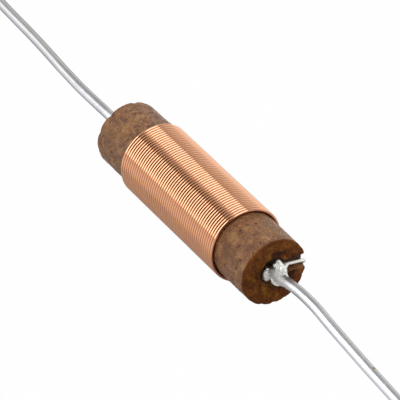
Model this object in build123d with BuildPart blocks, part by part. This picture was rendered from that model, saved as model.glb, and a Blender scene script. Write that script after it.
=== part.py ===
"""Axial fixed inductor: one layer of enamelled copper wire on a round rod of
pressed iron powder, with a stiff tinned lead soldered in at each end.

Units are millimetres. X runs along the rod, towards the near end (side 1);
the far end is side -1. Z is up, Y points away from the viewer. The origin is
the middle of the rod, on its axis. The winding lies on the ground, and so do
the tips of both leads.
"""
import os
from math import asin, cos, radians, sin

from build123d import *

os.makedirs("parts", exist_ok=True)

# Rod core
core_diameter = 6.35
core_length = 25.0
core_edge = 0.15

# Hollow round each lead, the slot that lets the wire in, and the lead's bore
recess_diameter = 2.7
recess_depth = 0.8
slot_width = 1.35
slot_height = 0.2
slot_overrun = 0.6
bore_depth = 5.5
cement_film = 0.02

# Winding
wire_diameter = 0.318
winding_turns = 49
winding_offset = 0.055
winding_slack = 0.03

# Tails of the same wire, from the last turns over the rim to the leads
tail_rise = -0.15
tail_start_angle = 20
tail_bend = 0.8
tail_lift = 0.06
slot_lift = 0.06
tail_slope = 0.5
tail_gap = 0.13
tail_end = 0.25
wire_sides = 6

# Leads
lead_diameter = 0.91
lead_reach = 36.5
lead_bend = 6.0
near_lead_straight = 1.75
near_lead_hump = 0.45
near_lead_hump_at = 5.1
near_lead_side = 0.1
far_lead_straight = 8.7
far_lead_side = 3.45

# Solder
solder_foot = 1.1
solder_waist = 0.85
solder_waist_at = 0.5
solder_height = 1.3

core_radius = core_diameter / 2
core_half = core_length / 2
wire_radius = wire_diameter / 2
lead_radius = lead_diameter / 2
slot_length = core_radius + slot_overrun
recess_floor = core_half - recess_depth
bore_end = recess_floor - bore_depth
winding_bore = core_radius + winding_slack
turn_radius = winding_bore + wire_radius
winding_radius = winding_bore + wire_diameter
winding_start = winding_offset - winding_turns * wire_diameter / 2
winding_end = winding_start + winding_turns * wire_diameter
ground = -winding_radius
lead_tip_height = ground + lead_radius
tail_height = lead_radius + tail_gap + wire_radius

with BuildPart() as core:
    with BuildSketch(Plane.YZ.offset(-core_half)):
        Circle(core_radius)
    extrude(amount=core_length)
    chamfer(core.edges().filter_by(GeomType.CIRCLE), core_edge)
    for side in (1, -1):
        with BuildSketch(Plane.YZ.offset(side * recess_floor)):
            Circle(recess_diameter / 2)
            with Locations((slot_length / 2, side * slot_height)):
                Rectangle(slot_length, slot_width)
        extrude(amount=side * recess_depth, mode=Mode.SUBTRACT)
        with BuildSketch(Plane.YZ.offset(side * recess_floor)):
            Circle(lead_radius + cement_film)
        extrude(amount=-side * bore_depth, mode=Mode.SUBTRACT)


def tail_route(side):
    """The wire's centre line from the last turn at one end of the winding,
    along the rod, over the rim, up through the slot and across the lead's side."""
    last_turn = (winding_end if side > 0 else -winding_start) - wire_radius
    run_radius = turn_radius + tail_lift
    slot_angle = asin(tail_rise / run_radius)
    start_angle = slot_angle - radians(tail_start_angle)
    run_y = run_radius * cos(slot_angle)
    in_slot = recess_floor + wire_radius + slot_lift
    route = [
        (last_turn, turn_radius * cos(start_angle), turn_radius * sin(start_angle)),
        (last_turn, run_y, tail_rise),
        (in_slot, run_y, tail_rise),
        (in_slot + tail_slope, -tail_end, tail_height),
    ]
    return [(side * x, y, side * z) for x, y, z in route]


def tail(side):
    """One tail of the winding, swept along its route."""
    with BuildPart() as wire:
        with BuildLine() as route:
            FilletPolyline(*tail_route(side), radius=[tail_bend, wire_diameter])
        with BuildSketch(Plane(origin=route.line @ 0, z_dir=route.line % 0)):
            RegularPolygon(wire_radius, wire_sides)
        sweep(path=route.line)
    return wire.part


tails = {side: tail(side) for side in (1, -1)}

with BuildPart() as winding:
    with BuildSketch(Plane.XZ):
        with BuildLine():
            outline = [(winding_start, winding_bore), (winding_start, turn_radius)]
            for turn in range(winding_turns):
                crest = winding_start + (turn + 0.5) * wire_diameter
                outline.append((crest, winding_radius))
                outline.append((crest + wire_radius, turn_radius))
            outline.append((winding_end, winding_bore))
            Polyline(outline, close=True)
        make_face()
    revolve(axis=Axis.X)
    for side in (1, -1):
        add(tails[side])


def lead(points):
    """A stiff round lead, its bends as arcs between straight runs."""
    with BuildPart() as wire:
        with BuildLine() as route:
            FilletPolyline(*points, radius=lead_bend)
        with BuildSketch(Plane(origin=route.line @ 0, z_dir=route.line % 0)):
            Circle(lead_radius)
        sweep(path=route.line)
    return wire.part


near_lead = lead(
    [
        (bore_end, 0, 0),
        (core_half + near_lead_straight, 0, 0),
        (core_half + near_lead_hump_at, near_lead_side, near_lead_hump),
        (core_half + lead_reach, near_lead_side, lead_tip_height),
    ]
)
far_lead = lead(
    [
        (-bore_end, 0, 0),
        (-core_half - far_lead_straight, 0, 0),
        (-core_half - lead_reach, far_lead_side, lead_tip_height),
    ]
)


def solder(side):
    """A cone of solder that fills the hollow round a lead and holds the tail."""
    with BuildPart() as joint:
        with BuildSketch(Plane.XZ):
            with BuildLine():
                foot = (recess_floor, solder_foot)
                waist = (core_half + solder_waist_at, solder_waist)
                top = (core_half + solder_height, lead_radius)
                Polyline((recess_floor, lead_radius), foot, waist, top, close=True)
            make_face()
        revolve(axis=Axis.X)
        if side < 0:
            mirror(about=Plane.YZ, mode=Mode.REPLACE)
        add(tails[side], mode=Mode.SUBTRACT)
    return joint.part


near_solder = solder(1)
far_solder = solder(-1)

pieces = {
    "core": core.part,
    "winding": winding.part,
    "near_lead": near_lead,
    "far_lead": far_lead,
    "near_solder": near_solder,
    "far_solder": far_solder,
}
for name, piece in pieces.items():
    piece.label = name
    export_step(piece, f"parts/{name}.step")
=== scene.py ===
"""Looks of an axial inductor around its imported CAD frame. Shapes are worked out
in millimetres, in the frame of the CAD, and MM turns them into metres. X runs
along the rod towards the near end and Z is up. Side 1 is the near end of the
rod and side -1 the far one."""
import math

import bpy
import numpy as np
from mathutils import Matrix, Vector


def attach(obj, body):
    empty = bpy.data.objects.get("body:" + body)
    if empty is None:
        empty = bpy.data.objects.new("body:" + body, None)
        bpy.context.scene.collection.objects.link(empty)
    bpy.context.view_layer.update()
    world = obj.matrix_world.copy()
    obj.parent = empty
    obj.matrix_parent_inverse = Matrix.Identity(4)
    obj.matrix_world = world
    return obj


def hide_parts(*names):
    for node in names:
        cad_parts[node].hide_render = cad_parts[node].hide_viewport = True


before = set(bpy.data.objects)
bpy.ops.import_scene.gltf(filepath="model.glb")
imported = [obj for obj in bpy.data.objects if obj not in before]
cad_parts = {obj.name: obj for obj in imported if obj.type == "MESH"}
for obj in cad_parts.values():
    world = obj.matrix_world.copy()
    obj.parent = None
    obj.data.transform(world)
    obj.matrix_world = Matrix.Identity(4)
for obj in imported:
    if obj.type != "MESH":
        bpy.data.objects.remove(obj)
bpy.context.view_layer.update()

MM = 0.001
GROUND = -3.523
CORE_R = 3.175
CORE_HALF = 12.5
RECESS_DEPTH = 0.8
LEAD_R = 0.47
TINY = 1e-6

HASH_FACTORS = (374761393, 668265263, 2147483647, 1274126177)
HASH_MASK = 0xFFFFFF


def smooth_step(value, low, high):
    """0 below low, 1 above high and a smooth rise between them."""
    t = np.clip((value - low) / (high - low), 0, 1)
    return t * t * (3 - 2 * t)


def hashed(ix, iy, iz, seed):
    """Random numbers from 0 to 1, fixed for each lattice point."""
    h = sum(value * factor for value, factor in zip((ix, iy, iz, seed), HASH_FACTORS))
    h = (h ^ (h >> 13)) * HASH_FACTORS[3]
    h = h ^ (h >> 16)
    return (h & HASH_MASK) / float(HASH_MASK)


def noise(points, size, seed):
    """Smooth noise from -1 to 1 with lumps of the given size."""
    p = np.asarray(points) / size
    base = np.floor(p).astype(np.int64)
    f = p - base
    f = f * f * (3 - 2 * f)
    total = np.zeros(len(p))
    for corner in range(8):
        offset = np.array([corner & 1, corner >> 1 & 1, corner >> 2 & 1])
        weight = np.prod(np.where(offset, f, 1 - f), axis=1)
        total += weight * hashed(*(base + offset).T, seed)
    return 2 * total - 1


def pits(points, cell, share, low, high, seed):
    """Depth, from 0 to 1, of round pits with radii from low to high. Space is
    cut into cells, and the given share of them has a pit each."""
    p = np.asarray(points)
    base = np.floor(p / cell).astype(np.int64)
    depth = np.zeros(len(p))
    for neighbour in np.ndindex(3, 3, 3):
        c = base + np.array(neighbour) - 1
        centre = np.stack([hashed(*c.T, seed + k) for k in range(3)], -1)
        centre = (c + centre) * cell
        there = hashed(*c.T, seed + 3) < share
        radius = low + (high - low) * hashed(*c.T, seed + 4) ** 2
        depth = np.maximum(depth, there * bowl(p, centre, radius))
    return depth


def bowl(points, centre, radius):
    """Depth of a round pit, 1 in its middle and 0 outside its radius."""
    reach = np.linalg.norm(points - centre, axis=1) / radius
    return np.clip(1 - reach * reach, 0, 1)


def new_object(name, verts, faces, material, nodes, sharp=None):
    """A mesh piece in millimetres, riding on the part and standing for CAD nodes.
    Edges that turn by more than sharp, in degrees, stay sharp."""
    mesh = bpy.data.meshes.new(name)
    mesh.from_pydata((np.asarray(verts, float) * MM).tolist(), [], faces)
    mesh.validate()
    mesh.polygons.foreach_set("use_smooth", [True] * len(mesh.polygons))
    if sharp:
        mesh.set_sharp_from_angle(angle=math.radians(sharp))
    mesh.update()
    piece = bpy.data.objects.new(name, mesh)
    bpy.context.scene.collection.objects.link(piece)
    piece.data.materials.append(material)
    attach(piece, "root")
    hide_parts(*nodes)


def skin(rings, around, turned=False):
    """Quads between rings of points, and one face over each end. The rings run
    round their path, or the other way if turned."""
    faces = []
    for k in range(rings - 1):
        for j in range(around):
            a = k * around + j
            b = k * around + (j + 1) % around
            if turned:
                faces.append((a, a + around, b + around, b))
            else:
                faces.append((a, b, b + around, a + around))
    first = tuple(range(around))
    last = tuple(range((rings - 1) * around, rings * around))
    return faces + ([first, last[::-1]] if turned else [first[::-1], last])


def tube_mesh(path, radius, sides):
    """Verts and faces of a round tube with flat ends along a path of points."""
    path = np.asarray(path, float)
    radius = np.broadcast_to(radius, len(path))
    tangents = np.gradient(path, axis=0)
    tangents /= np.linalg.norm(tangents, axis=1)[:, None]
    normal = np.array([0, 0, 1.0])
    angles = 2 * np.pi * np.arange(sides) / sides
    verts = []
    for point, tangent, reach in zip(path, tangents, radius):
        normal = normal - tangent * (normal @ tangent)
        normal /= np.linalg.norm(normal)
        side = np.cross(tangent, normal)
        ring = np.outer(np.cos(angles), normal) + np.outer(np.sin(angles), side)
        verts.append(point + reach * ring)
    return np.concatenate(verts), skin(len(path), sides)


def rounded(points, radii, step):
    """Points along straight runs joined by arcs, about a step apart."""
    pts = [np.array(p, float) for p in points]
    out = [pts[0]]

    def run_to(target):
        start = out[-1]
        count = max(1, int(round(np.linalg.norm(target - start) / step)))
        for i in range(1, count + 1):
            out.append(start + (target - start) * i / count)

    for i, radius in enumerate(radii, 1):
        before = pts[i] - pts[i - 1]
        after = pts[i + 1] - pts[i]
        before /= np.linalg.norm(before)
        after /= np.linalg.norm(after)
        turn = math.acos(np.clip(before @ after, -1, 1))
        reach = radius * math.tan(turn / 2)
        run_to(pts[i] - before * reach)
        inward = after - before * (before @ after)
        inward /= np.linalg.norm(inward)
        centre = pts[i] - before * reach + inward * radius
        count = max(3, int(round(turn * radius / step)))
        for j in range(1, count + 1):
            a = turn * j / count
            out.append(centre + radius * (before * math.sin(a) - inward * math.cos(a)))
    run_to(pts[-1])
    return np.array(out)


def spline(knots, step):
    """A smooth path through points, by cubic pieces whose slopes follow the chords."""
    knots = np.array(knots, float)
    gaps = np.linalg.norm(np.diff(knots, axis=0), axis=1)
    at = np.concatenate([[0], np.cumsum(gaps)])
    slope = np.gradient(knots, at, axis=0)
    out = []
    for k, gap in enumerate(gaps):
        count = max(2, int(round(gap / step)))
        for i in range(count):
            t = i / count
            place = (2 * t**3 - 3 * t**2 + 1) * knots[k]
            place = place + (t**3 - 2 * t**2 + t) * gap * slope[k]
            place = place + (-2 * t**3 + 3 * t**2) * knots[k + 1]
            out.append(place + (t**3 - t**2) * gap * slope[k + 1])
    out.append(knots[-1])
    return np.array(out)


def grey(value):
    return (value, value, value)


class Tree:
    """Short calls to build a node tree."""

    NUMBER_GIVEN = ("DOT_PRODUCT", "DISTANCE", "LENGTH")

    def __init__(self, tree):
        self.tree = tree

    def add(self, kind, **values):
        """A new node with the given properties and inputs."""
        node = self.tree.nodes.new(kind)
        for key, value in values.items():
            if hasattr(node, key):
                setattr(node, key, value)
            else:
                node.inputs[key.replace("_", " ")].default_value = value
        return node

    def link(self, output, target):
        self.tree.links.new(output, target)

    def fill(self, sockets, values):
        """Link each socket to an output or set it to a value."""
        for socket, value in zip(sockets, values):
            if isinstance(value, bpy.types.NodeSocket):
                self.link(value, socket)
            else:
                socket.default_value = value

    def math(self, operation, a, b=0.0, c=0.0):
        node = self.add("ShaderNodeMath", operation=operation)
        self.fill(node.inputs, (a, b, c))
        return node.outputs[0]

    def vector(self, operation, *values):
        """A vector operation, which gives a vector or a number."""
        node = self.add("ShaderNodeVectorMath", operation=operation)
        self.fill(node.inputs, values)
        return node.outputs["Value" if operation in self.NUMBER_GIVEN else "Vector"]

    def fade(self, value, low, high, start=0.0, end=1.0, kind="SMOOTHSTEP"):
        """A number that goes from start to end as value goes from low to high."""
        node = self.add("ShaderNodeMapRange", interpolation_type=kind)
        self.fill(node.inputs, (value, low, high, start, end))
        return node.outputs[0]

    def show(self, share, first, second, output):
        """Mix two shaders by a share and send them to an output of this kind."""
        mixed = self.add("ShaderNodeMixShader")
        self.fill(mixed.inputs, (share, first.outputs[0], second.outputs[0]))
        self.link(mixed.outputs[0], self.add(output).inputs["Surface"])


class Skin(Tree):
    """Short calls to build a piece's material, anchored to the part. Its
    distances are in metres until ramp_mm reads them."""

    def __init__(self, name):
        self.material = bpy.data.materials.new(name)
        self.material.use_nodes = True
        super().__init__(self.material.node_tree)
        self.shader = self.tree.nodes["Principled BSDF"]
        self.coords = self.add("ShaderNodeTexCoord").outputs["Object"]
        place = self.add("ShaderNodeSeparateXYZ")
        self.link(self.coords, place.inputs[0])
        self.y, self.z = place.outputs["Y"], place.outputs["Z"]
        self.from_middle = self.math("ABSOLUTE", place.outputs["X"])
        self.from_axis = self.vector("LENGTH", self.vector("MULTIPLY", self.coords, (0, 1, 1)))

    def noise(self, size_mm, detail=4, roughness=0.55):
        """Noise from 0 to 1 with grains of about the given size."""
        node = self.add("ShaderNodeTexNoise", Scale=1 / (size_mm * MM), Detail=detail)
        node.inputs["Roughness"].default_value = roughness
        self.link(self.coords, node.inputs["Vector"])
        return node.outputs["Fac"]

    def ramp(self, value, stops):
        """Numbers or colours over a value from 0 to 1, straight between the stops."""
        node = self.add("ShaderNodeValToRGB")
        elements = node.color_ramp.elements
        while len(elements) < len(stops):
            elements.new(0.5)
        for element, (place, color) in zip(elements, stops):
            element.position = place
            element.color = (*(color if isinstance(color, tuple) else grey(color)), 1)
        self.link(value, node.inputs["Fac"])
        return node.outputs["Color"]

    def ramp_mm(self, distance, low, high, stops):
        """A ramp over a distance, with its ends and stops in millimetres."""
        span = high - low
        share = self.math("MULTIPLY_ADD", distance, 1 / (span * MM), -low / span)
        return self.ramp(share, [((place - low) / span, value) for place, value in stops])

    def mix(self, factor, a, b):
        """From a to b, which are colours or sockets, as the factor goes from 0 to 1."""
        node = self.add("ShaderNodeMix", data_type="RGBA")
        sockets = [s for s in node.inputs if s.name in ("Factor", "A", "B") and s.enabled]
        colours = [(*value, 1) if isinstance(value, tuple) else value for value in (a, b)]
        self.fill(sockets, (factor, *colours))
        return next(s for s in node.outputs if s.enabled)

    def both(self, a, b):
        return self.math("MULTIPLY", a, b)

    def opposite(self, a):
        return self.math("SUBTRACT", 1.0, a)

    def bump(self, height, distance_mm, strength):
        node = self.add("ShaderNodeBump", Distance=distance_mm * MM, Strength=strength)
        self.link(height, node.inputs["Height"])
        self.to(node.outputs["Normal"], "Normal")

    def to(self, output, name):
        self.link(output, self.shader.inputs[name])

    def set(self, **values):
        for key, value in values.items():
            self.shader.inputs[key.replace("_", " ")].default_value = value


# Pressed iron powder: brown and mottled, darker and more ochre on its end faces,
# with dark grains, and painted shade in its pits and down in its hollow and slot.
# A stop is the noise's value and the tone there
SIDE_TONES = [
    (0.37, (0.155, 0.054, 0.016)),
    (0.45, (0.225, 0.083, 0.024)),
    (0.55, (0.295, 0.117, 0.033)),
    (0.64, (0.395, 0.186, 0.066)),
]
FACE_TONES = [
    (0.39, (0.04, 0.01, 0.001)),
    (0.46, (0.125, 0.033, 0.003)),
    (0.54, (0.175, 0.055, 0.004)),
    (0.63, (0.31, 0.112, 0.01)),
]
OCHRE = (0.215, 0.087, 0.012)
RUST = (0.32, 0.122, 0.038)
RIM_BROWN = (0.2, 0.052, 0.009)
DARK_GRAIN = (0.03, 0.011, 0.004)
LIGHT_GRAIN = (0.3, 0.18, 0.1)
PIT_SHADE = (0.03, 0.008, 0.003)
CORE_HOLLOW_SHADE = (0.03, 0.01, 0.003)
SKIN_GLOSS = [(0.42, 0.5), (0.58, 0.2)]
FACE_ROUGHNESS = 0.75
SIDE_SPECULAR, FACE_SPECULAR = 0.5, 0.15
GRAIN_HEIGHT, FINE_HEIGHT, POWDER_RELIEF = 0.9, 0.35, 0.19
# Lengths that the ramps span, in mm: out from the axis, along half the rod, along
# half the part, and across it
AXIS_SPAN = (0, 4)
HALF_SPAN = (0, 25)
LEAD_SPAN = (0, 50)
CROSS_SPAN = (-4, 4)

powder = Skin("pressed_iron_powder")
broad = powder.noise(2.4, 3)
blotch = powder.noise(0.8, 5, 0.62)
mottle = powder.noise(0.4, 4, 0.65)
grain = powder.noise(0.17, 4, 0.7)
fine = powder.noise(0.08, 3, 0.7)
on_side = powder.ramp_mm(powder.from_axis, *AXIS_SPAN, [(3.028, 0.0), (3.06, 1.0)])
on_end = powder.ramp_mm(powder.from_middle, *HALF_SPAN, [(12.295, 0.0), (12.3875, 1.0)])
side_tone = powder.ramp(blotch, SIDE_TONES)
side_tone = powder.mix(powder.ramp(broad, [(0.45, 0.0), (0.7, 0.55)]), side_tone, OCHRE)
side_tone = powder.mix(powder.ramp(mottle, [(0.56, 0.0), (0.68, 0.6)]), side_tone, RUST)
rim = powder.ramp_mm(powder.from_axis, *AXIS_SPAN, [(2.0, 0.0), (3.04, 0.62)])
face_tone = powder.mix(rim, powder.ramp(blotch, FACE_TONES), RIM_BROWN)
tone = powder.mix(on_end, side_tone, face_tone)
tone = powder.mix(powder.ramp(grain, [(0.36, 0.7), (0.44, 0.0)]), tone, DARK_GRAIN)
tone = powder.mix(powder.ramp(fine, [(0.6, 0.0), (0.75, 0.3)]), tone, LIGHT_GRAIN)
# Painted shade: the side is darker where it lies sunk, in its pits and dips
pit_shade = powder.ramp_mm(powder.from_axis, *AXIS_SPAN, [(3.102, 0.6), (3.14, 0.0)])
pit_shade = powder.both(powder.both(on_side, pit_shade), powder.opposite(on_end))
tone = powder.mix(pit_shade, tone, PIT_SHADE)
# Painted shade: the floors of the hollow and slot are darker, most towards their upper side
core_hollow_shade = powder.ramp_mm(powder.from_middle, *HALF_SPAN, [(11.75, 0.85), (11.85, 0.0)])
upper = powder.ramp_mm(powder.z, *CROSS_SPAN, [(-0.32, 0.25), (0.24, 1.0)])
core_hollow_shade = powder.both(powder.both(core_hollow_shade, upper), powder.opposite(on_side))
powder.to(powder.mix(core_hollow_shade, tone, CORE_HOLLOW_SHADE), "Base Color")
gloss = powder.ramp(mottle, SKIN_GLOSS)
powder.to(powder.mix(on_end, gloss, grey(FACE_ROUGHNESS)), "Roughness")
specular = powder.mix(on_end, grey(SIDE_SPECULAR), grey(FACE_SPECULAR))
powder.to(specular, "Specular IOR Level")
relief = powder.math("MULTIPLY_ADD", grain, GRAIN_HEIGHT, powder.both(fine, FINE_HEIGHT))
powder.bump(relief, POWDER_RELIEF, 1.0)

# Enamelled copper under a glossy clear coat. Painted shade darkens the gaps between
# turns, and a painted highlight tint makes it creamier higher up the coil
COPPER_GAP_SHADE = (0.42, 0.088, 0.02)
COPPER_LOW = (0.82, 0.325, 0.072)
COPPER_HIGHLIGHT_TINT = (0.83, 0.368, 0.135)
COPPER_STREAK = (0.78, 0.31, 0.095)

copper = Skin("enamelled_copper")
# Painted shade in the gaps between turns, and a painted highlight tint higher up
crest = copper.ramp_mm(copper.from_axis, *AXIS_SPAN, [(3.46, 0.0), (3.494, 1.0)])
highlight_tint = copper.ramp_mm(copper.z, *CROSS_SPAN, [(0.4, COPPER_LOW), (1.28, COPPER_HIGHLIGHT_TINT)])
copper_tone = copper.mix(crest, COPPER_GAP_SHADE, highlight_tint)
streak = copper.ramp(copper.noise(1.4, 3), [(0.35, 0.0), (0.65, 0.3)])
copper.to(copper.mix(streak, copper_tone, COPPER_STREAK), "Base Color")
copper.set(Metallic=1.0, Roughness=0.07)
copper.set(Coat_Weight=1.0, Coat_Roughness=0.05, Coat_IOR=2.05)
copper.bump(copper.noise(0.3, 2), 0.002, 0.5)

# Tinned wire, for the leads and the tails' bare ends. Solder has wetted it near
# the joints. Along the leads next to them it is painted lighter and more matt on
# its lower front side, a painted highlight, less on its upper back side. The dark
# brown on the lead down in the hollow is painted shade, and SPECK the place, in
# metres, of a small stain on the near lead
TIN_TONES = [(0.35, (0.745, 0.755, 0.805)), (0.65, (0.805, 0.815, 0.87))]
WETTED_AND_LIT_TONE = (0.93, 0.94, 0.9)
WETTED_METAL = 0.55
WETTED_ROUGHNESS = 0.42
TIN_ROUGHNESS = [(0.3, 0.2), (0.7, 0.27)]
UNLIT_SIDE = (0, 0.8, 0.6)
STAIN = (0.5, 0.33, 0.12)
SPECK = (0.02775, 0.0003, -0.00042)
HOLLOW_SHADE_BROWN = (0.1, 0.05, 0.02)

tin = Skin("tinned_wire")
to_unlit_side = tin.vector("DOT_PRODUCT", tin.coords, UNLIT_SIDE)
# Painted highlight: lighter and more matt on the lead's lower front side next to the joints
painted_lit_side = tin.both(
    tin.ramp_mm(to_unlit_side, -0.5, 0.5, [(0.1, 1.0), (0.3, 0.3)]),
    tin.ramp_mm(tin.from_middle, *LEAD_SPAN, [(13.75, 1.0), (16.5, 0.0)]),
)
near_joints = tin.ramp_mm(tin.from_middle, *LEAD_SPAN, [(12.9, 1.0), (13.2, 0.0)])
wetted_and_lit = tin.math("MAXIMUM", painted_lit_side, near_joints)
tin_tone = tin.mix(wetted_and_lit, tin.ramp(tin.noise(1.1, 4), TIN_TONES), WETTED_AND_LIT_TONE)
spot = tin.ramp_mm(tin.vector("DISTANCE", tin.coords, SPECK), 0, 1, [(0.1, 0.9), (0.24, 0.0)])
tin_tone = tin.mix(spot, tin_tone, STAIN)
# Painted shade on the lead down in the hollow
hollow_shade = tin.both(
    tin.ramp_mm(tin.from_axis, *AXIS_SPAN, [(0.6, 1.0), (0.68, 0.0)]),
    tin.ramp_mm(tin.from_middle, *LEAD_SPAN, [(12.3, 1.0), (12.5, 0.0)]),
)
tin.to(tin.mix(hollow_shade, tin_tone, HOLLOW_SHADE_BROWN), "Base Color")
tin.to(tin.mix(wetted_and_lit, grey(1.0), grey(WETTED_METAL)), "Metallic")
dull = tin.ramp(tin.noise(0.6, 4), TIN_ROUGHNESS)
tin.to(tin.mix(wetted_and_lit, dull, grey(WETTED_ROUGHNESS)), "Roughness")
tin.set(Specular_Tint=(0.2, 0.2, 0.19, 1.0))
tin.bump(tin.noise(0.9, 3), 0.003, 0.5)

# Solder: white and grainy, with painted shade, dark brown, on its upper side down
# in the hollow
SOLDER_TONES = [
    (0.36, (0.74, 0.75, 0.71)),
    (0.46, (0.91, 0.93, 0.88)),
    (0.7, (0.95, 0.97, 0.92)),
]
SOLDER_SPECK = (0.32, 0.29, 0.24)
SOLDER_ROUGHNESS = [(0.3, 0.25), (0.7, 0.42)]

solder = Skin("tin_solder")
deep = solder.ramp_mm(solder.from_middle, *LEAD_SPAN, [(12.175, 1.0), (12.475, 0.0)])
upper = solder.ramp_mm(solder.z, *CROSS_SPAN, [(-0.24, 0.0), (0.0, 1.0)])
inward = solder.ramp_mm(solder.y, *CROSS_SPAN, [(-0.4, 0.0), (-0.28, 1.0)])
# Painted shade on the joint's upper side down in the hollow
hollow_shade = solder.both(deep, solder.both(upper, inward))
solder_tone = solder.mix(hollow_shade, solder.ramp(solder.noise(0.22, 4), SOLDER_TONES), HOLLOW_SHADE_BROWN)
specks = solder.ramp(solder.noise(0.13, 3, 0.6), [(0.34, 0.8), (0.42, 0.0)])
solder.to(solder.mix(specks, solder_tone, SOLDER_SPECK), "Base Color")
solder.to(solder.ramp(solder.noise(0.12, 4), SOLDER_ROUGHNESS), "Roughness")
solder.set(Metallic=0.45)
solder.bump(solder.noise(0.1, 4, 0.6), 0.022, 0.8)


# Rod core: one closed surface, drawn as rings from the middle of the far face
# round to the middle of the near one
RECESS_R = 1.35
SLOT_HALF = 0.675
SLOT_Z = 0.2
# The lips of hollow and slot are worn and wander, differently at each end
LIP_BLUR = 0.07
LIP_WOBBLE, LIP_LUMP, LIP_SEED = 0.035, 0.35, 11
HOLLOW_WOBBLE = 1.5
ENDS_APART = 9.0

# The rings: points to each, the rounded corner of the rim, steps along the side,
# where they stop under the winding, and their radii on the end face
CORE_AROUND = 336
CORNER_R = 0.13
CORNER_STEPS = 4
SIDE_STEPS = 62
HIDDEN_X = {1: 7.75, -1: -7.4}
FACE_RADII = np.concatenate([
    [0.3, 0.7, 0.95, 1.1],
    np.arange(1.18, 1.56, 0.055),
    np.linspace(1.62, CORE_R - CORNER_R, 27),
])

# The skin lies sunk a little, to stay inside the rod. Depth, lump and seed of its
# roughness, and for its pits their depth, then the cell, the share of cells, the
# radii and the seed
ROUGHNESS = [(0.018, 0.5, 21), (0.018, 0.2, 22)]
PITS = [(0.07, (0.6, 0.3, 0.05, 0.15, 31)), (0.045, (0.27, 0.45, 0.04, 0.09, 41))]
SUNK = 0.02
SKIN_MARGIN = 0.002
# How far inside the hollow's floor and the rod's side the end faces reach
FLOOR_MARGIN, SIDE_MARGIN = 0.03, 0.02
# Depth, lump, seed and threshold of the chips on the rims, which wear away most
# at the rim and reach this far in across the face and along the side
CHIPS = [(0.15, 0.6, 51, 0.15), (0.05, 0.25, 52, 0.0)]
CHIP_TAPER = 0.5
RIM_WIDTH = 0.3
RIM_LENGTH = (0.55, 0.2)
# Larger pits, with their place along the rod, angle round it and radius
SEEN_PITS = [
    (9.05, 101, 0.15), (9.2, 116, 0.15), (10.4, 135, 0.18),
    (11.4, 150, 0.15), (11.75, 108, 0.17), (11.3, 165, 0.18),
    (9.3, 89, 0.18), (-10.7, 95, 0.18), (-9.7, 85, 0.15),
    (-10.5, 134, 0.15), (-8.6, 135, 0.17), (-10.0, 172, 0.15),
]
SEEN_DEPTH = 0.08


def face_depth(y, z, side):
    """How far the end face lies below the rod's end, from its hollow and slot."""
    at = np.stack([y, z, np.full_like(y, side * ENDS_APART)], -1)
    wobble = noise(at, LIP_LUMP, LIP_SEED) * LIP_WOBBLE
    inside = RECESS_R + wobble * HOLLOW_WOBBLE - np.hypot(y, z)
    hollow = smooth_step(inside, -LIP_BLUR, LIP_BLUR)
    across = SLOT_HALF - np.abs(z - side * SLOT_Z) + wobble
    slot = smooth_step(across, -LIP_BLUR, LIP_BLUR) * (y > 0)
    return RECESS_DEPTH * np.maximum(hollow, slot)


def core_rings(side):
    """Rings of points from the middle of an end face to under the winding."""
    phi = 2 * np.pi * np.arange(CORE_AROUND) / CORE_AROUND
    c, s = np.cos(phi), np.sin(phi)
    rings = []

    def ring(x, r):
        rings.append(np.stack([x, r * c, r * s], -1))

    for r in FACE_RADII:
        ring(side * (CORE_HALF - face_depth(r * c, r * s, side)), r)
    shoulder = CORE_R - CORNER_R
    dip = face_depth(shoulder * c, shoulder * s, side)
    for step in range(1, CORNER_STEPS + 1):
        a = math.pi / 2 * step / CORNER_STEPS
        x = side * (CORE_HALF - dip - CORNER_R * (1 - math.cos(a)))
        ring(x, shoulder + CORNER_R * math.sin(a))
    corner = side * (CORE_HALF - dip - CORNER_R)
    for step in range(1, SIDE_STEPS + 1):
        ring(corner + (HIDDEN_X[side] - corner) * (step / SIDE_STEPS), CORE_R)
    return rings


def weathered(verts):
    """The core's points with its roughness, its pits and its chipped rims."""
    radius = np.hypot(verts[:, 1], verts[:, 2])
    still = np.zeros(len(verts))
    outward = np.stack([still, verts[:, 1] / radius, verts[:, 2] / radius], -1)
    face_normal = np.stack([np.sign(verts[:, 0]), still, still], -1)
    on_face = np.abs(verts[:, 0]) > CORE_HALF - RECESS_DEPTH - FLOOR_MARGIN
    on_face &= radius < CORE_R - SIDE_MARGIN
    normal = np.where(on_face[:, None], face_normal, outward)
    rough = sum(depth * noise(verts, lump, seed) for depth, lump, seed in ROUGHNESS)
    deep = sum(pits(verts, *values) * depth for depth, values in PITS)
    for x, degrees, size in SEEN_PITS:
        a = math.radians(degrees)
        middle = np.array([x, CORE_R * math.cos(a), CORE_R * math.sin(a)])
        deep = np.maximum(deep, SEEN_DEPTH * bowl(verts, middle, size))
    rim = smooth_step(radius, CORE_R - RIM_WIDTH, CORE_R)
    rim = rim * smooth_step(np.abs(verts[:, 0]), *(CORE_HALF - reach for reach in RIM_LENGTH))
    chip = rim * sum(
        np.clip(noise(verts, lump, seed) - threshold, 0, 1) * depth
        for depth, lump, seed, threshold in CHIPS
    )
    verts = verts + normal * (rough - deep - SUNK)[:, None]
    verts[:, 0] -= np.sign(verts[:, 0]) * chip
    verts[:, 1:] *= (1 - chip * CHIP_TAPER / np.maximum(radius, 1))[:, None]
    limit = CORE_R - SKIN_MARGIN
    out = np.hypot(verts[:, 1], verts[:, 2])
    verts[:, 1:] *= np.where(out > limit, limit / np.maximum(out, TINY), 1)[:, None]
    verts[:, 0] = np.clip(verts[:, 0], -CORE_HALF, CORE_HALF)
    return verts


rings = core_rings(-1) + core_rings(1)[::-1]
verts = weathered(np.concatenate(rings))
faces = skin(len(rings), CORE_AROUND, turned=True)
new_object("rod_core", verts, faces, powder.material, ["core"])

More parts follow.
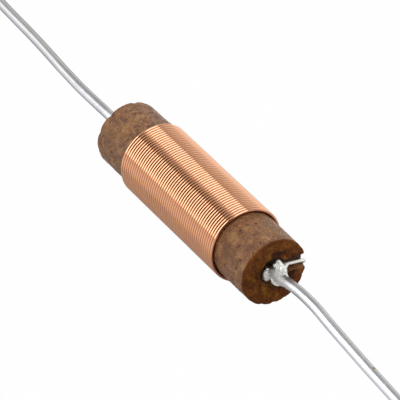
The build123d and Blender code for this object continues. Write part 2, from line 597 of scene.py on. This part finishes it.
# Winding: one round wire in a helix, which HELIX_LAG shifts by a share of its
# pitch and which stops LEAD_IN short of its full turns at either end. From there
# the wire runs along the rod, bends over the rim and goes down the slot. Past
# BARE_X it is tinned
PITCH = 0.318
TURNS = 49
STEPS_A_TURN = 120
COIL_START = -7.736
TURN_R = 3.364
HELIX_LAG = 127 / 360
LEAD_IN = math.radians(33)
COPPER_R, COPPER_SIDES = 0.153, 14
TINNED_R, TINNED_SIDES = 0.142, 16
WIRE_SHARP = 50
TAIL_Z = -0.15
TAIL_ANGLE = math.radians(15)
TAIL_RUN_R = 3.345
TAIL_LEAN = 0.1
TAIL_BEND_X = 11.45
RIM_WIRE_X = 11.95
TAIL_END = (0.4, 0.95, 0.42)
TAIL_BENDS = [0.7, 0.25, 0.24]
TAIL_STEP = 0.05
BARE_X = 10.75


def helix(theta):
    """The wire's centre line at angles round the rod."""
    x = COIL_START + PITCH * (0.5 - HELIX_LAG) + PITCH * theta / (2 * np.pi)
    return np.stack([x, TURN_R * np.cos(theta), TURN_R * np.sin(theta)], -1)


def tail_points(side, start):
    """The wire's centre line from the end of the helix along the rod's back,
    over the rim and through the slot to the solder."""
    run_y = TAIL_RUN_R * math.cos(TAIL_ANGLE)
    run_z = -side * TAIL_RUN_R * math.sin(TAIL_ANGLE)
    beyond, end_y, end_z = TAIL_END
    corners = [
        start,
        (start[0] + side * TAIL_LEAN, run_y, run_z),
        (side * TAIL_BEND_X, run_y, run_z),
        (side * RIM_WIRE_X, math.sqrt(TAIL_RUN_R**2 - TAIL_Z**2), side * TAIL_Z),
        (side * (RIM_WIRE_X + beyond), end_y, side * end_z),
    ]
    return rounded(corners, TAIL_BENDS, TAIL_STEP)


theta = np.linspace(LEAD_IN, 2 * np.pi * TURNS - LEAD_IN, TURNS * STEPS_A_TURN)
coil = helix(theta)
tails = {1: tail_points(1, coil[-1]), -1: tail_points(-1, coil[0])}
bare = {side: int(np.argmax(np.abs(tail[:, 0]) > BARE_X)) for side, tail in tails.items()}
path = np.concatenate([
    tails[-1][1 : bare[-1] + 1][::-1],
    coil,
    tails[1][1 : bare[1] + 1],
])
verts, faces = tube_mesh(path, COPPER_R, COPPER_SIDES)
new_object(
    "winding_wire", verts, faces, copper.material, ["winding"], WIRE_SHARP
)
for side, name in ((1, "near_tail"), (-1, "far_tail")):
    verts, faces = tube_mesh(tails[side][bare[side] - 1 :], TINNED_R, TINNED_SIDES)
    new_object(name, verts, faces, tin.material, ["winding"], WIRE_SHARP)

# Leads: stiff wires through knots, with the slight waves of wire that was
# straightened by hand. WAVE_RISE is how far from the rod's middle the waves
# start and are full
TIP_Z = GROUND + LEAD_R
NEAR_KNOTS = [
    (6.6, 0, 0), (12.6, 0, 0), (13.6, 0.01, 0.03), (15.0, 0.06, 0.22),
    (16.4, 0.1, 0.32), (17.6, 0.1, 0.34), (19.1, 0.1, 0.27), (21.2, 0.1, -0.05),
    (24.3, 0.13, -0.49), (30.5, 0.19, -1.2), (40.0, 0.17, -2.15), (49.0, 0.1, TIP_Z),
]
FAR_KNOTS = [
    (-6.6, 0, 0), (-13, 0, 0), (-17, 0.02, -0.02), (-19.7, 0.02, -0.04),
    (-21.6, 0.04, -0.05), (-23.4, 0.15, -0.11), (-25.3, 0.31, -0.21),
    (-28.0, 0.68, -0.5), (-32.0, 1.24, -1.0), (-40.0, 2.18, -1.95), (-49.0, 3.43, TIP_Z),
]
KNOT_STEP = 0.3
WAVE, WAVE_LUMP, WAVE_SEEDS = 0.012, 4.0, (61, 62)
WAVE_RISE = (13.5, 16)
LEAD_SIDES = 32
LEAD_SHARP = 40
# The tip's rings, with their distance from its end and share of the radius
TIP_RINGS = [(0.08, 1.0), (0.02, 0.97), (0.0, 0.86)]


def build_lead(name, knots, node):
    path = spline(knots, KNOT_STEP)
    waves = [noise(path, WAVE_LUMP, seed) for seed in WAVE_SEEDS]
    shift = np.stack([np.zeros(len(path)), *waves], -1) * WAVE
    path += shift * smooth_step(np.abs(path[:, 0]), *WAVE_RISE)[:, None]
    end = path[-1]
    inward = (path[-2] - end) / np.linalg.norm(path[-2] - end)
    path = np.concatenate([path[:-1], [end + inward * away for away, _ in TIP_RINGS]])
    radius = np.full(len(path), LEAD_R)
    radius[-len(TIP_RINGS) :] *= [share for _, share in TIP_RINGS]
    verts, faces = tube_mesh(path, radius, LEAD_SIDES)
    new_object(name, verts, faces, tin.material, [node], LEAD_SHARP)


build_lead("near_lead_wire", NEAR_KNOTS, "near_lead")
build_lead("far_lead_wire", FAR_KNOTS, "far_lead")


# Solder joints: a surface drawn round a distance field of rounded forms, with x
# measured out from the end face
def capsule(points, start, end, start_radius, end_radius):
    """Distance from a round bar whose radius changes along it."""
    start, end = np.array(start, float), np.array(end, float)
    line = end - start
    t = np.clip((points - start) @ line / (line @ line), 0, 1)
    apart = np.linalg.norm(points - start - t[:, None] * line, axis=1)
    return apart - (start_radius + (end_radius - start_radius) * t)


def wrap(points, centre, tilt, major, minor):
    """Distance from a turn of wire round the lead, leaning by tilt along x per
    mm of height."""
    p = points - np.array(centre, float)
    radial = np.hypot(p[:, 1], p[:, 2])
    return np.hypot(radial - major, p[:, 0] - tilt * p[:, 2]) - minor


def flattened(points, centre, radii):
    """About the distance from an ellipsoid."""
    p = (points - np.array(centre)) / np.array(radii)
    reach = np.linalg.norm(p, axis=1)
    slope = np.maximum(np.linalg.norm(p / np.array(radii), axis=1), TINY)
    return reach * (reach - 1) / slope


def joined(a, b, blend):
    """Two distance fields as one form, with a fillet about blend wide."""
    h = np.clip(0.5 + 0.5 * (b - a) / blend, 0, 1)
    return b + (a - b) * h - blend * h * (1 - h)


def surface_net(field, low, high, step):
    """Verts and quads of the surface where a field is zero, one vertex to each
    cell that it crosses."""
    axes = [np.arange(a, b + step, step) for a, b in zip(low, high)]
    grid = np.stack(np.meshgrid(*axes, indexing="ij"), -1)
    value = field(grid.reshape(-1, 3)).reshape(grid.shape[:3])
    total = np.zeros(grid.shape)
    count = np.zeros(grid.shape[:3])
    crossings = []
    for axis in range(3):
        other = np.roll(value, -1, axis)
        crossed = (value < 0) != (other < 0)
        np.moveaxis(crossed, axis, 0)[-1] = False
        cells = np.argwhere(crossed)
        a = value[crossed]
        point = grid[crossed].copy()
        point[:, axis] += a / (a - other[crossed]) * step
        u = np.eye(3, dtype=int)[(axis + 1) % 3]
        v = np.eye(3, dtype=int)[(axis + 2) % 3]
        around = [cells, cells - u, cells - u - v, cells - v]
        for cell in around:
            np.add.at(total, tuple(cell.T), point)
            np.add.at(count, tuple(cell.T), 1)
        crossings.append((around, a < 0))
    used = tuple(np.argwhere(count > 0).T)
    index = np.full(count.shape, -1)
    index[used] = np.arange(len(used[0]))
    verts = total[used] / count[used][:, None]
    faces = []
    for around, outward in crossings:
        quads = np.stack([index[tuple(cell.T)] for cell in around], -1)
        quads[~outward] = quads[~outward][:, ::-1]
        faces += quads.tolist()
    return verts, faces


# Each form has its distance field, its values and how wide it blends into those
# before it. Each lump has its height, size and seed. The photograph doesn't show
# the far joint, which is plainer and of the same make
NEAR_BODY = (capsule, ((0.5, 0.2, -0.1), (1.12, 0.1, -0.04), 0.7, 0.58))
NEAR_FORMS = [
    (capsule, ((-1.2, 0, 0), (1.6, 0.02, 0.03), 0.47, 0.462), 0.05),
    (capsule, ((0.25, 0.5, 0.2), (-0.15, 1.25, 0.33), 0.45, 0.2), 0.3),
    (capsule, ((0.15, 0.5, 0.42), (0.06, 0.34, 0.95), 0.38, 0.26), 0.08),
    (capsule, ((0.1, 0.3, 0.5), (0.1, -0.03, 0.82), 0.2, 0.18), 0.05),
    (wrap, ((0.35, 0.1, -0.36), -0.3, 0.47, 0.21), 0.06),
    (flattened, ((-0.43, -0.42, -0.3), (0.25, 0.47, 0.68)), 0.05),
]
NEAR_LUMPS = [(0.022, 0.25, 71), (0.01, 0.12, 72)]
FAR_BODY = (capsule, ((0.15, 0.12, 0.05), (0.7, 0.0, 0.0), 0.75, 0.62))
FAR_FORMS = [
    (capsule, ((-1.2, 0, 0), (1.5, 0, 0), 0.47, 0.462), 0.3),
    (capsule, ((0.2, 0.55, -0.25), (-0.12, 1.3, -0.35), 0.42, 0.17), 0.3),
    (capsule, ((0.0, 0.1, 0.5), (0.05, -0.2, 1.0), 0.22, 0.17), 0.12),
    (wrap, ((-0.4, 0.0, 0.05), -0.15, 0.64, 0.22), 0.1),
]
FAR_LUMPS = [(0.02, 0.2, 73), (0.012, 0.1, 74)]
JOINT_LOW = (-0.79, -1.5, -1.5)
JOINT_HIGH = (1.9, 1.7, 1.7)
JOINT_STEP = 0.045


def build_joint(name, node, side, body, forms, lumps):
    def field(points):
        form, values = body
        distance = form(points, *values)
        for form, values, blend in forms:
            distance = joined(distance, form(points, *values), blend)
        for height, size, seed in lumps:
            distance = distance + height * noise(points, size, seed)
        return distance

    verts, faces = surface_net(field, JOINT_LOW, JOINT_HIGH, JOINT_STEP)
    verts[:, 0] = side * (CORE_HALF + verts[:, 0])
    if side < 0:
        faces = [face[::-1] for face in faces]
    new_object(name, verts, faces, solder.material, [node])


build_joint("near_solder_joint", "near_solder", 1, NEAR_BODY, NEAR_FORMS, NEAR_LUMPS)
build_joint("far_solder_joint", "far_solder", -1, FAR_BODY, FAR_FORMS, FAR_LUMPS)

# Floor: white paper. Each kind of ray sees a share of its glow, and a glossy ray
# sees less of it close to the part, inside an ellipse: a painted shadow round the
# part, seen in the part's reflections
FLOOR_HALF = 1.5
FLOOR_DROP = 0.01
PAPER = (0.5, 0.5, 0.5, 1)
CAMERA_SHARE = 0.985
THROUGH_SHARE = 0.15
NEAR_SHARE, OPEN_SHARE = 0.15, 0.9
SHADE_STRETCH = (0.8, 1.3, 0)
SHADE_SHIFT = (3 * MM, 0, 0)
SHADE_FROM, SHADE_TO = 13 * MM, 22 * MM

floor_mesh = bpy.data.meshes.new("floor")
z = (GROUND - FLOOR_DROP) * MM
sides = ((-1, -1), (1, -1), (1, 1), (-1, 1))
floor_corners = [(x * FLOOR_HALF, y * FLOOR_HALF, z) for x, y in sides]
floor_mesh.from_pydata(floor_corners, [], [(0, 1, 2, 3)])
floor = bpy.data.objects.new("floor", floor_mesh)
bpy.context.scene.collection.objects.link(floor)
paper_material = bpy.data.materials.new("white_paper")
paper_material.use_nodes = True
paper = Tree(paper_material.node_tree)
paper.tree.nodes.clear()
place = paper.add("ShaderNodeTexCoord").outputs["Object"]
place = paper.vector("MULTIPLY_ADD", place, SHADE_STRETCH, SHADE_SHIFT)
aside = paper.vector("LENGTH", place)
open_share = paper.fade(aside, SHADE_FROM, SHADE_TO, NEAR_SHARE, OPEN_SHARE, "LINEAR")
ray = paper.add("ShaderNodeLightPath").outputs
share = paper.math("MULTIPLY", ray["Is Camera Ray"], CAMERA_SHARE)
share = paper.math("MULTIPLY_ADD", ray["Is Glossy Ray"], open_share, share)
share = paper.math("MULTIPLY_ADD", ray["Is Transmission Ray"], THROUGH_SHARE, share)
diffuse = paper.add("ShaderNodeBsdfDiffuse", Color=PAPER)
glow = paper.add("ShaderNodeEmission", Color=(1, 1, 1, 1), Strength=1.0)
paper.show(share, diffuse, glow, "ShaderNodeOutputMaterial")
floor_mesh.materials.append(paper_material)

# World: a light tent with a brighter ring low down, a glow on the left, a darker
# patch behind and a dark opening on the near side. A pair is the cosine of the
# angle to an axis where a part starts and where it is full. The opening is an
# ellipse, and the pair of its edge is the squared reach from its middle. The
# camera sees a plain pale backdrop instead, where the floor doesn't hide it
TENT = 0.67
TENT_COLOUR = (1.03, 1.0, 0.93, 1.0)
LOW_FADE, LOW_LIGHT = (0.5, 0.28), 0.2
BEHIND_FADE, BEHIND_LIGHT = (-0.3, 0.3), 0.3
GLOW_AXIS, GLOW_FADE, GLOW = (-0.926, -0.282, 0.252), (0.93, 0.975), 0.5
DARK_AXIS, DARK_FADE, DARK = (-0.732, 0.2, 0.651), (0.82, 0.93), 0.42
OPENING_AXIS, OPENING_FRONT = (0.717, -0.419, 0.557), (0.0, 0.1)
OPENING_ACROSS, OPENING_WIDE = (0.697, 0.431, -0.573), math.radians(44)
OPENING_UP, OPENING_TALL = (0, 0.799, 0.602), math.radians(24)
OPENING_EDGE = (1.2, 0.75)
BACKDROP = (0.8, 0.8, 0.8, 1.0)

world = bpy.data.worlds.new("studio")
bpy.context.scene.world = world
world.use_nodes = True
sky = Tree(world.node_tree)
sky.tree.nodes.clear()
ray_direction = sky.add("ShaderNodeTexCoord").outputs["Generated"]


def towards(axis):
    """The cosine of the angle between a ray and an axis."""
    return sky.vector("DOT_PRODUCT", ray_direction, axis)


def squared(value):
    return sky.math("MULTIPLY", value, value)


low_share = sky.fade(towards((0, 0, 1)), *LOW_FADE)
behind = sky.fade(towards((0, 1, 0)), *BEHIND_FADE)
ring_light = sky.math("MULTIPLY_ADD", behind, BEHIND_LIGHT, LOW_LIGHT)
left_glow = sky.math("MULTIPLY", sky.fade(towards(GLOW_AXIS), *GLOW_FADE), GLOW)
tent = sky.math("ADD", sky.math("MULTIPLY_ADD", low_share, ring_light, left_glow), TENT)
dark_back = sky.math("MULTIPLY", sky.fade(towards(DARK_AXIS), *DARK_FADE), DARK)
tent = sky.math("MULTIPLY", tent, sky.math("SUBTRACT", 1.0, dark_back))
wide = sky.math("DIVIDE", towards(OPENING_ACROSS), math.sin(OPENING_WIDE))
tall = sky.math("DIVIDE", towards(OPENING_UP), math.sin(OPENING_TALL))
reach = sky.math("ADD", squared(wide), squared(tall))
in_front = sky.fade(towards(OPENING_AXIS), *OPENING_FRONT)
opening = sky.math("MULTIPLY", sky.fade(reach, *OPENING_EDGE), in_front)
strength = sky.math("MULTIPLY", tent, sky.math("SUBTRACT", 1.0, opening))
lit = sky.add("ShaderNodeBackground", Color=TENT_COLOUR)
sky.link(strength, lit.inputs["Strength"])
backdrop = sky.add("ShaderNodeBackground", Color=BACKDROP)
ray = sky.add("ShaderNodeLightPath").outputs
sky.show(ray["Is Camera Ray"], lit, backdrop, "ShaderNodeOutputWorld")

# Lamps: soft boxes that face the part, with their direction from it, the way
# that their width runs, and their width and height in metres
LAMP_DISTANCE = 0.6
LAMP_RADIANCE = 2.0
LAMP_COLOUR = (0.94, 1.0, 1.1)
SOFTBOXES = [
    ("top_softbox", (0.28, 0.25, 0.93), (1, 0, 0), 0.7, 0.36),
    ("left_softbox", (-0.32, -0.7, 0.57), (1, -0.3, 0.25), 0.56, 0.56),
]

for name, direction, wide, width, height in SOFTBOXES:
    light = bpy.data.lights.new(name, "AREA")
    light.shape = "RECTANGLE"
    light.size = width
    light.size_y = height
    light.energy = LAMP_RADIANCE * math.pi * width * height
    light.color = LAMP_COLOUR
    lamp = bpy.data.objects.new(name, light)
    away = Vector(direction).normalized()
    across = (Vector(wide) - away * away.dot(Vector(wide))).normalized()
    turn = Matrix((across, away.cross(across), away)).transposed()
    lamp.matrix_world = Matrix.Translation(away * LAMP_DISTANCE) @ turn.to_4x4()
    bpy.context.scene.collection.objects.link(lamp)

# Camera
AZIMUTH, ELEVATION = math.radians(59.69), math.radians(33.84)
CAMERA_AT = (0.26105, -0.15256, 0.20285)
LENS = 379.5
SENSOR_WIDTH = 36
CLIP_START = 0.01

camera_data = bpy.data.cameras.new("camera")
camera_data.sensor_width = SENSOR_WIDTH
camera_data.lens = LENS
camera_data.clip_start = CLIP_START
camera = bpy.data.objects.new("camera", camera_data)
bpy.context.scene.collection.objects.link(camera)
back = Vector((
    math.sin(AZIMUTH) * math.cos(ELEVATION),
    -math.cos(AZIMUTH) * math.cos(ELEVATION),
    math.sin(ELEVATION),
))
right = Vector((math.cos(AZIMUTH), math.sin(AZIMUTH), 0))
turn = Matrix((right, back.cross(right), back)).transposed()
camera.matrix_world = Matrix.Translation(CAMERA_AT) @ turn.to_4x4()
bpy.context.scene.camera = camera

bpy.context.scene.view_settings.view_transform = "Standard"
